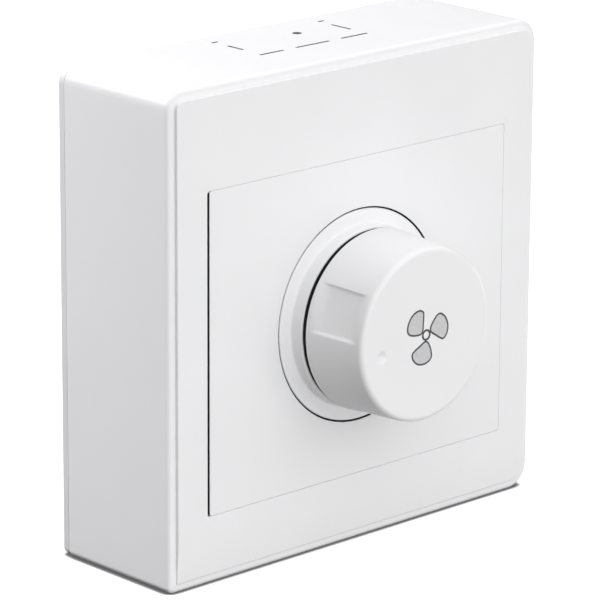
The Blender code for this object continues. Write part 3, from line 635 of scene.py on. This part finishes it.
def soften(obj, width):
    """Rounds the sharp edges that the Booleans left."""
    bevel = obj.modifiers.new("soften", "BEVEL")
    bevel.width = width * MM
    bevel.segments = 2
    bevel.limit_method = "ANGLE"
    bevel.angle_limit = SHARP_ANGLE
    bevel.use_clamp_overlap = True
    settle(obj)


def paint_gap_shade(obj, look, chosen):
    """Paints shade: gives the faces that lie deep in a gap or slot a darker material, which
    stands for the shade that falls there. It comes after finish_piece.
    """
    mesh = obj.data
    mesh.materials.append(materials[look])
    for face in mesh.polygons:
        centre = face.center / MM
        if chosen(-centre.y, centre.x, centre.z):
            face.material_index = len(mesh.materials) - 1


def finish_piece(obj, look, body, node=None, weighted=True):
    """Smooth shading that keeps flat faces flat, the material, and the body it rides on."""
    mesh = obj.data
    mesh.shade_smooth()
    mesh.set_sharp_from_angle(angle=SHARP_ANGLE)
    if weighted:
        normals = obj.modifiers.new("normals", "WEIGHTED_NORMAL")
        normals.keep_sharp = True
        normals.weight = 100
    mesh.materials.clear()
    mesh.materials.append(materials[look])
    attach(obj, body)
    if node:
        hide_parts(node)


# ---------------------------------------------------------------- case


def case_loop(inset, height):
    half = CASE_HALF - inset
    corners = tuple(corner - inset for corner in CASE_CORNERS)
    return rounded_rect(-half, half, -half, half, corners, height)


def recess_loop(outset, height):
    return rounded_rect(
        PANEL_LEFT - GAP_LEFT - outset,
        PANEL_RIGHT + GAP_RIGHT + outset,
        PANEL_BOTTOM - GAP_ENDS - outset,
        PANEL_TOP + GAP_ENDS + outset,
        RECESS_CORNER + outset,
        height,
    )


def lowered(height, z):
    """The height of a point of the raised face once its foot is curved back."""
    share = min(1.0, max(0.0, (FOOT_TOP - z) / (FOOT_TOP + CASE_HALF - RIM_WIDTH)))
    raised = max(0.0, height - RIM_HEIGHT)
    return height - raised * FOOT_FALL * share * share


def make_housing():
    """The case: filleted walls, a narrow rim, a raised face that curves back a little along its
    foot, and a recess with a round opening in its floor."""
    back_edge = 0.3
    front_edge = 0.75
    step_edge = 0.22
    recess_edge = 0.08
    loops = [case_loop(CASE_WALL, CASE_BACK)]
    for inset, drop in reversed(edge_arc(back_edge, 2)):
        loops.append(case_loop(inset, CASE_BACK + drop))
    for inset, drop in edge_arc(front_edge):
        loops.append(case_loop(inset, RIM_HEIGHT - drop))
    loops.append(case_loop(RIM_WIDTH - 0.1, RIM_HEIGHT))
    loops.append(case_loop(RIM_WIDTH, RIM_HEIGHT + 0.1))
    for inset, drop in edge_arc(step_edge):
        loops.append(case_loop(RIM_WIDTH + inset, FACE_HEIGHT - drop))
    outside, inside = loops[-1], recess_loop(recess_edge, FACE_HEIGHT)
    for share in (0.05, 0.12, 0.2, 0.28, 0.36, 0.45, 0.55, 0.7, 0.85):
        loops.append([a.lerp(b, share) for a, b in zip(outside, inside)])
    for loop in loops:
        for point in loop:
            point.y = -lowered(-point.y, point.z)
    for inset, drop in reversed(edge_arc(recess_edge, 3)):
        loops.append(recess_loop(inset, FACE_HEIGHT - drop))
    floor = recess_loop(0.0, LEDGE_FRONT)
    loops.append(floor)
    loops.append(circle_like(floor, LEDGE_OPENING, LEDGE_FRONT))
    loops.append(circle_like(floor, LEDGE_OPENING, LEDGE_BACK))
    loops.append(recess_loop(LEDGE_WALL, LEDGE_BACK))
    loops.append(recess_loop(LEDGE_WALL, CORE_HEIGHT))
    loops.append(case_loop(CASE_WALL, CORE_HEIGHT))
    housing = loft("housing_moulding", loops)
    bm = bmesh.new()
    for way in (-1, 1):
        low, high = sorted((way * (CASE_HALF - KNOCKOUT_DEPTH), way * (CASE_HALF + 1)))
        for left, right, back, front in KNOCKOUT_SLOTS:
            box_into(bm, (left, back, low), (right, front, high), 0.0)
        x, height, radius = PRY_HOLE
        sides = 32
        angles = [math.tau * k / sides for k in range(sides)]
        prism_into(
            bm,
            [
                [
                    Vector((x + radius * math.cos(a), -height - radius * math.sin(a), z))
                    for a in angles
                ]
                for z in (low, high)
            ],
        )
        cylinder_into(bm, way * SCREW_SPACING / 2, 0, SCREW_HOLE_RADIUS, 18, 26)
        for z in HOOK_PLACES:
            x = way * HOOK_X
            half_x, half_z = HOOK_SLOT
            box_into(bm, (x - half_x, 18, z - half_z), (x + half_x, 26, z + half_z), 0.3)
    boolean(housing, bm, "DIFFERENCE")
    finish_piece(housing, "case_white", "case", "housing")
    # Painted shade: the recess's walls and ledge behind the centre panel get the near-black
    # deep_shade, though they are the case's white plastic
    paint_gap_shade(
        housing,
        "deep_shade",
        lambda height, x, z: LEDGE_BACK < height < FACE_HEIGHT - 0.5
        and PANEL_LEFT - 1 < x < PANEL_RIGHT
        and PANEL_BOTTOM < z < PANEL_TOP,
    )
    # Painted shade: the walls and floors of the knockout slots and the pry hole get the grey
    # slot_shade
    paint_gap_shade(
        housing,
        "slot_shade",
        lambda height, x, z: KNOCKOUT_DEPTH + 0.1 > CASE_HALF - abs(z) > 0.1
        and height < KNOCKOUT_REACH[1]
        and abs(x) < KNOCKOUT_REACH[0],
    )


def make_rear_plate():
    """The wall plate with its locating lip, screw posts, cable opening and wall slots."""
    edge = 0.35
    loops = []
    smaller = CASE_HALF - REAR_HALF
    for inset, drop in reversed(edge_arc(edge, 3)):
        loops.append(case_loop(smaller + inset, drop))
    loops.append(case_loop(smaller, REAR_THICKNESS))
    bm = bmesh.new()
    prism_into(bm, loops)
    plate = new_object("rear_plate_moulding", bm)
    outer = CASE_HALF - CASE_WALL - CLEARANCE
    inner = outer - REAR_LIP_WALL
    way = CABLE_WAY / 2
    bm = bmesh.new()
    for side in (-1, 1):
        outline = [
            (side * way, outer),
            (side * outer, outer),
            (side * outer, -outer),
            (side * way, -outer),
            (side * way, -inner),
            (side * inner, -inner),
            (side * inner, inner),
            (side * way, inner),
        ]
        loops = [[Vector((x, -h, z)) for x, z in outline] for h in (1.0, REAR_LIP_HEIGHT)]
        prism_into(bm, loops)
    boolean(plate, bm, "UNION")
    bm = bmesh.new()
    for side in (-1, 1):
        cylinder_into(bm, side * SCREW_SPACING / 2, 0, POST_RADIUS, 1.0, POST_HEIGHT)
    boolean(plate, bm, "UNION")
    bm = bmesh.new()
    half_x, half_z = CABLE_OPENING
    box_into(bm, (-half_x, -2, -half_z), (half_x, 4, half_z), 4.0)
    half_x, half_z = WALL_SLOT
    for side in (-1, 1):
        centre = side * SCREW_SPACING / 2
        low, high = (-half_x, -2, centre - half_z), (half_x, 4, centre + half_z)
        box_into(bm, low, high, half_z - 0.05)
        cylinder_into(bm, centre, 0, SCREW_HOLE_RADIUS, 6, 22)
        for way_x in (-1, 1):
            for x, z, radius in EJECTOR_MARKS:
                cylinder_into(bm, way_x * x, side * z, radius, -1, EJECTOR_DEPTH)
    boolean(plate, bm, "DIFFERENCE")
    soften(plate, 0.22)
    finish_piece(plate, "rear_white", "case", "rear_plate")


def panel_loop(inset, height, corner=0.45):
    return rounded_rect(
        PANEL_LEFT + inset,
        PANEL_RIGHT - inset,
        PANEL_BOTTOM + inset,
        PANEL_TOP - inset,
        corner - inset,
        height,
    )


def make_centre_panel():
    """The centre panel: a shallow tray with the ring's round hole and four snap hooks."""
    front_edge = 0.12
    hole_edge = 0.1
    hole = RING_RADIUS + RING_GAP
    back = FACE_HEIGHT - PANEL_THICKNESS
    loops = [panel_loop(0.0, PANEL_BACK)]
    for inset, drop in edge_arc(front_edge):
        loops.append(panel_loop(inset, FACE_HEIGHT - drop))
    outline = loops[0]
    for inset, drop in reversed(edge_arc(hole_edge, 3)):
        loops.append(circle_like(outline, hole + inset, FACE_HEIGHT - drop))
    loops.append(circle_like(outline, hole, back))
    loops.append(panel_loop(PANEL_LIP, back, 1.3))
    loops.append(panel_loop(PANEL_LIP, PANEL_BACK, 1.3))
    panel = loft("centre_panel_moulding", loops)
    bm = bmesh.new()
    for side in (-1, 1):
        x = side * HOOK_X
        for z in HOOK_PLACES:
            low = (x - HOOK_THICKNESS / 2, HOOK_BACK, z - HOOK_WIDTH / 2)
            high = (x + HOOK_THICKNESS / 2, back + 0.5, z + HOOK_WIDTH / 2)
            box_into(bm, low, high)
    boolean(panel, bm, "UNION")
    bm = bmesh.new()
    for side in (-1, 1):
        x = side * HOOK_X
        barb_low, barb_high = sorted((x + 0.4 * side, x - side))
        for z in HOOK_PLACES:
            low = (barb_low, HOOK_BACK + 0.1, z - HOOK_WIDTH / 2 + 0.1)
            high = (barb_high, HOOK_BACK + 0.9, z + HOOK_WIDTH / 2 - 0.1)
            box_into(bm, low, high)
    boolean(panel, bm, "UNION")
    finish_piece(panel, "panel_white", "case", "centre_panel")
    # Painted shade: the panel's faces behind its front, round the ring's hole and along its left
    # edge, get the near-black deep_shade
    paint_gap_shade(
        panel,
        "deep_shade",
        lambda height, x, z: height < FACE_HEIGHT - 0.3
        and (math.hypot(x, z - AXIS_Z) < RING_RADIUS + 1 or x < PANEL_LEFT + 0.1),
    )


# ---------------------------------------------------------------- ring and knob


def rounded_profile(corners):
    """A profile of (radius, height) points from (radius, height, rounding) corners of a closed
    outline."""
    steps = 5
    points = []
    count = len(corners)
    for index, (radius, height, rounding) in enumerate(corners):
        here = Vector((radius, height))
        if not rounding:
            points.append(here)
            continue
        before = (Vector(corners[index - 1][:2]) - here).normalized()
        after = (Vector(corners[(index + 1) % count][:2]) - here).normalized()
        half_angle = before.angle(after) / 2
        reach = rounding / math.tan(half_angle)
        centre = here + (before + after).normalized() * rounding / math.sin(half_angle)
        start = here + before * reach - centre
        turn = start.angle_signed(here + after * reach - centre)
        for k in range(steps + 1):
            angle = -turn * k / steps
            cos, sin = math.cos(angle), math.sin(angle)
            offset = Vector((start.x * cos - start.y * sin, start.x * sin + start.y * cos))
            points.append(centre + offset)
    return points


def make_trim_ring():
    """The stepped ring: a hidden flange, a disc flush with the panel and a raised collar."""
    panel_back = FACE_HEIGHT - PANEL_THICKNESS - CLEARANCE
    corners = [
        (RING_BORE, COLLAR_HEIGHT, 0.25),
        (COLLAR_RADIUS, COLLAR_HEIGHT, 0.35),
        (COLLAR_RADIUS + 0.05, FACE_HEIGHT, 0.3),
        (RING_RADIUS, FACE_HEIGHT, 0.3),
        (RING_RADIUS, panel_back, 0.0),
        (RING_FLANGE_RADIUS, panel_back, 0.1),
        (RING_FLANGE_RADIUS, PANEL_BACK, 0.1),
        (RING_BORE, PANEL_BACK, 0.1),
    ]
    profile = rounded_profile(corners)
    steps = 240
    loops = []
    for radius, height in profile:
        angles = [math.tau * k / steps for k in range(steps)]
        loops.append(
            [
                Vector((radius * math.cos(a), -height, AXIS_Z + radius * math.sin(a)))
                for a in angles
            ]
        )
    ring = loft("trim_ring_moulding", loops)
    finish_piece(ring, "ring_white", "case", "trim_ring")
    # Painted shade: the ring's bore and every face behind the disc's front get the near-black
    # deep_shade
    paint_gap_shade(
        ring,
        "deep_shade",
        lambda height, x, z: math.hypot(x, z - AXIS_Z) < COLLAR_RADIUS - 0.4
        or height < FACE_HEIGHT - 0.4,
    )


def smooth_step(value):
    value = min(1.0, max(0.0, value))
    return value * value * (3 - 2 * value)


def side_radius(height):
    share = (height - KNOB_BACK) / (KNOB_FRONT - KNOB_EDGE - KNOB_BACK)
    return KNOB_BACK_RADIUS + share * (KNOB_FRONT_RADIUS - KNOB_BACK_RADIUS)


def pocket_depth(angle, height, radius):
    """How far the side is sunk at an angle, in degrees, by the nearest grip pocket."""
    half = math.radians(POCKET_HALF_ANGLE)
    for middle in POCKET_ANGLES:
        away = math.radians((angle - middle + 180) % 360 - 180)
        if abs(away) > half * 1.2:
            continue
        across = (abs(away) - half) * radius
        centre = (POCKET_BACK + POCKET_FRONT) / 2
        along = abs(height - centre) - (POCKET_FRONT - POCKET_BACK) / 2
        share = smooth_step(0.5 - across / POCKET_SOFTNESS) * smooth_step(-along / POCKET_RUN_OUT)
        floor = (radius * math.cos(half) - POCKET_STEP) / math.cos(away)
        return share * (radius - floor)
    return 0.0


def dimple_depth(x, z):
    """How far the face is sunk by the round marker dimple."""
    angle = math.radians(DIMPLE_ANGLE)
    away = math.hypot(x - DIMPLE_OFFSET * math.cos(angle), z - DIMPLE_OFFSET * math.sin(angle))
    share = away / DIMPLE_RADIUS
    if share >= 1.25:
        return 0.0
    bowl = 1.0 - share * share
    softness = 0.12
    return DIMPLE_DEPTH * max(0.0, (bowl + math.sqrt(bowl * bowl + softness**2)) / 2 - 0.004)


def spread(start, end, step):
    count = max(1, round(abs(end - start) / step))
    return [start + (end - start) * k / count for k in range(count)]


def make_knob():
    """The knob as a fine polar grid, with its grip pockets and marker dimple sunk into it."""
    back_edge = 0.3
    top_of_side = KNOB_FRONT - KNOB_EDGE
    rows = []
    for inset, drop in reversed(edge_arc(back_edge, 3)):
        rows.append(("plain", KNOB_BACK_RADIUS - inset, KNOB_BACK + drop))
    heights = [
        *spread(KNOB_BACK + 0.45, POCKET_BACK, 0.3),
        *spread(POCKET_BACK, POCKET_BACK + POCKET_RUN_OUT, 0.15),
        *spread(POCKET_BACK + POCKET_RUN_OUT, POCKET_FRONT - POCKET_RUN_OUT, 0.7),
        *spread(POCKET_FRONT - POCKET_RUN_OUT, POCKET_FRONT, 0.15),
        *spread(POCKET_FRONT, top_of_side, 0.3),
    ]
    for height in heights:
        rows.append(("side", side_radius(height), height))
    for inset, drop in edge_arc(KNOB_EDGE, 10):
        rows.append(("plain", KNOB_FRONT_RADIUS - inset, KNOB_FRONT - drop))
    reach = DIMPLE_RADIUS * 1.3
    radii = [
        *spread(KNOB_FRONT_RADIUS - KNOB_EDGE - 0.3, DIMPLE_OFFSET + reach, 1.0),
        *spread(DIMPLE_OFFSET + reach, DIMPLE_OFFSET - reach, 0.1),
        *spread(DIMPLE_OFFSET - reach, 0.6, 1.2),
        0.6,
    ]
    for radius in radii:
        rows.append(("face", radius, KNOB_FRONT))
    ceiling = KNOB_FRONT - KNOB_FACE_WALL
    inner = [
        (KNOB_BORE * 0.5, KNOB_BORE_FRONT),
        (KNOB_BORE, KNOB_BORE_FRONT),
        (KNOB_BORE, KNOB_HUB_BACK),
        (KNOB_HUB_RADIUS, KNOB_HUB_BACK),
        (KNOB_HUB_RADIUS, ceiling),
        (KNOB_FRONT_RADIUS - KNOB_WALL, ceiling),
        (KNOB_BACK_RADIUS - KNOB_WALL, KNOB_BACK + 0.2),
        (KNOB_BACK_RADIUS - KNOB_WALL + 0.2, KNOB_BACK),
    ]
    bm = bmesh.new()
    outer_rings = [knob_ring(bm, *row) for row in rows]
    inner_rings = [knob_ring(bm, "plain", *row) for row in inner]
    for rings in (outer_rings, inner_rings):
        for first, second in zip(rings, rings[1:]):
            join_rings(bm, first, second)
    join_rings(bm, inner_rings[-1], outer_rings[0])
    bm.faces.new(outer_rings[-1])
    bm.faces.new(inner_rings[0])
    knob = new_object("knob_moulding", bm)
    finish_piece(knob, "knob_white", "dial", "knob", weighted=False)
    # Painted shade: the faces inside the knob's hollow get the near-black deep_shade
    paint_gap_shade(
        knob,
        "deep_shade",
        lambda height, x, z: height < KNOB_FRONT - 1
        and math.hypot(x, z - AXIS_Z) < KNOB_BACK_RADIUS - 0.35 - (height - KNOB_BACK) * 1.2,
    )


def knob_ring(bm, kind, radius, height):
    ring = []
    for k in range(KNOB_STEPS):
        degrees = 360 * k / KNOB_STEPS
        angle = math.radians(degrees)
        depth = pocket_depth(degrees, height, radius) if kind == "side" else 0.0
        x = (radius - depth) * math.cos(angle)
        z = (radius - depth) * math.sin(angle)
        sunk = dimple_depth(x, z) if kind == "face" else 0.0
        ring.append(bm.verts.new(Vector((x, sunk - height, AXIS_Z + z)) * MM))
    return ring


def join_rings(bm, first, second):
    count = len(first)
    for k in range(count):
        after = (k + 1) % count
        bm.faces.new((first[k], first[after], second[after], second[k]))


def blade_outline(middle):
    """A smooth closed outline of one blade, as (x, z) points about the knob's axis."""
    samples = 6
    corners = []
    for radius, degrees in BLADE:
        angle = math.radians(middle + degrees)
        corners.append(Vector((radius * math.cos(angle), radius * math.sin(angle))))
    count = len(corners)
    points = []
    for index in range(count):
        a, b, c, d = (corners[(index + k - 1) % count] for k in range(4))
        for k in range(samples):
            t = k / samples
            points.append(
                0.5
                * (
                    2 * b
                    + (c - a) * t
                    + (2 * a - 5 * b + 4 * c - d) * t * t
                    + (3 * b - a - 3 * c + d) * t * t * t
                )
            )
    return points


def offset_outline(points, distance):
    """The outline moved inwards by a distance."""
    moved = []
    count = len(points)
    for index, point in enumerate(points):
        along = (points[(index + 1) % count] - points[index - 1]).normalized()
        moved.append(point + Vector((-along.y, along.x)) * distance)
    return moved


def plate_into(bm, outline, back, front):
    loops = [[Vector((p.x, -h, AXIS_Z + p.y)) for p in outline] for h in (back, front)]
    prism_into(bm, loops)


def strip_into(bm, outer, inner, back, front):
    """A flat closed strip between two outlines."""
    rings = []
    for outline, height in ((outer, back), (outer, front), (inner, front), (inner, back)):
        rings.append(
            [bm.verts.new(Vector((p.x, -height, AXIS_Z + p.y)) * MM) for p in outline]
        )
    for index in range(4):
        join_rings(bm, rings[index], rings[(index + 1) % 4])


def circle_outline(radius):
    sides = 48
    angles = [math.tau * k / sides for k in range(sides)]
    return [Vector((radius * math.cos(a), radius * math.sin(a))) for a in angles]


def make_fan_mark():
    """The printed fan: three grey blades, each with a dark outline, round a small hub ring."""
    fill = bmesh.new()
    line = bmesh.new()
    for middle in BLADE_ANGLES:
        outline = blade_outline(middle)
        inside = offset_outline(outline, MARK_LINE)
        plate_into(fill, offset_outline(outline, MARK_LINE / 2), MARK_BACK, FILL_FRONT)
        strip_into(line, outline, inside, MARK_BACK, LINE_FRONT)
    hub_inner, hub_outer = MARK_HUB
    hub = (circle_outline(hub_outer), circle_outline(hub_inner))
    strip_into(line, *hub, MARK_BACK, LINE_FRONT)
    for name, bm, look, slot in (
        ("fan_mark_fill", fill, "mark_grey", "pad_grey"),
        ("fan_mark_line", line, "mark_dark", "component_black"),
    ):
        piece = new_object(name, bm)
        finish_piece(piece, look, "dial", weighted=False)


# ---------------------------------------------------------------- light and floor


def make_world():
    """A dark studio with a few large soft panels, each brightest at its middle."""
    world = bpy.data.worlds.new("studio")
    world.use_nodes = True
    tree = world.node_tree
    background = tree.nodes["Background"]
    place = tree.nodes.new("ShaderNodeTexCoord").outputs["Generated"]

    def math_node(operation, first, second):
        node = tree.nodes.new("ShaderNodeMath")
        node.operation = operation
        tree.links.new(first, node.inputs[0])
        if isinstance(second, float):
            node.inputs[1].default_value = second
        else:
            tree.links.new(second, node.inputs[1])
        return node.outputs["Value"]

    total = None
    for direction, narrowness, strength in STUDIO_PANELS:
        facing = tree.nodes.new("ShaderNodeVectorMath")
        facing.operation = "DOT_PRODUCT"
        facing.inputs[1].default_value = Vector(direction).normalized()
        tree.links.new(place, facing.inputs[0])
        glow = math_node("MAXIMUM", facing.outputs["Value"], 0.0)
        glow = math_node("POWER", glow, narrowness)
        glow = math_node("MULTIPLY", glow, strength)
        total = glow if total is None else math_node("ADD", total, glow)
    tree.links.new(total, background.inputs["Strength"])
    background.inputs["Color"].default_value = (0.995, 0.995, 1.0, 1.0)
    scene.world = world


def add_area(name, location, target, size, energy, colour):
    data = bpy.data.lights.new(name, "AREA")
    data.shape = "SQUARE"
    data.size = size
    data.energy = energy
    data.color = colour
    light = bpy.data.objects.new(name, data)
    light.location = location
    light.rotation_euler = (Vector(target) - Vector(location)).to_track_quat("-Z", "Y").to_euler()
    scene.collection.objects.link(light)


def make_floor():
    """Pale paper, partly self-lit, that doesn't light the object, with a painted contact shadow:
    an ambient occlusion ramp darkens its colour and glow where they touch.
    """
    bm = bmesh.new()
    bmesh.ops.create_grid(bm, x_segments=2, y_segments=2, size=3.0)
    bmesh.ops.translate(bm, vec=(0, 0, cad_box[0][2]), verts=bm.verts)
    floor = new_object("floor", bm)
    n = Nodes("floor_paper")
    contact = n.add("ShaderNodeAmbientOcclusion", {"samples": 16})
    contact.inputs["Distance"].default_value = CONTACT_REACH * MM
    openness = contact.outputs["AO"]
    # Painted contact shadow: the glow and the colour fall to a dark grey where ambient occlusion
    # finds the object close
    n.set(Emission_Color=n.ramp(openness, (0.5, CONTACT_DARKEST), (0.9, 1.0)))
    n.shader.inputs["Emission Strength"].default_value = 0.6
    n.set(
        Base_Color=n.ramp(openness, (0.5, CONTACT_DARKEST), (0.9, 0.94)),
        Roughness=0.9,
        Normal=n.bump(n.noise(300.0, 3.0), 0.05 * MM),
    )
    n.shader.inputs["Specular IOR Level"].default_value = 0.2
    floor.data.materials.append(n.material)
    floor.visible_diffuse = False


dress_cad_nodes()
make_housing()
make_rear_plate()
make_centre_panel()
make_trim_ring()
make_knob()
make_fan_mark()

scene.view_settings.view_transform = "Standard"
make_world()
make_floor()
add_area(
    "side_softbox",
    location=(-0.22, 0.16, 0.2),
    target=(-0.04, 0, 0.02),
    size=0.15,
    energy=0.51,
    colour=(0.975, 0.965, 1.0),
)
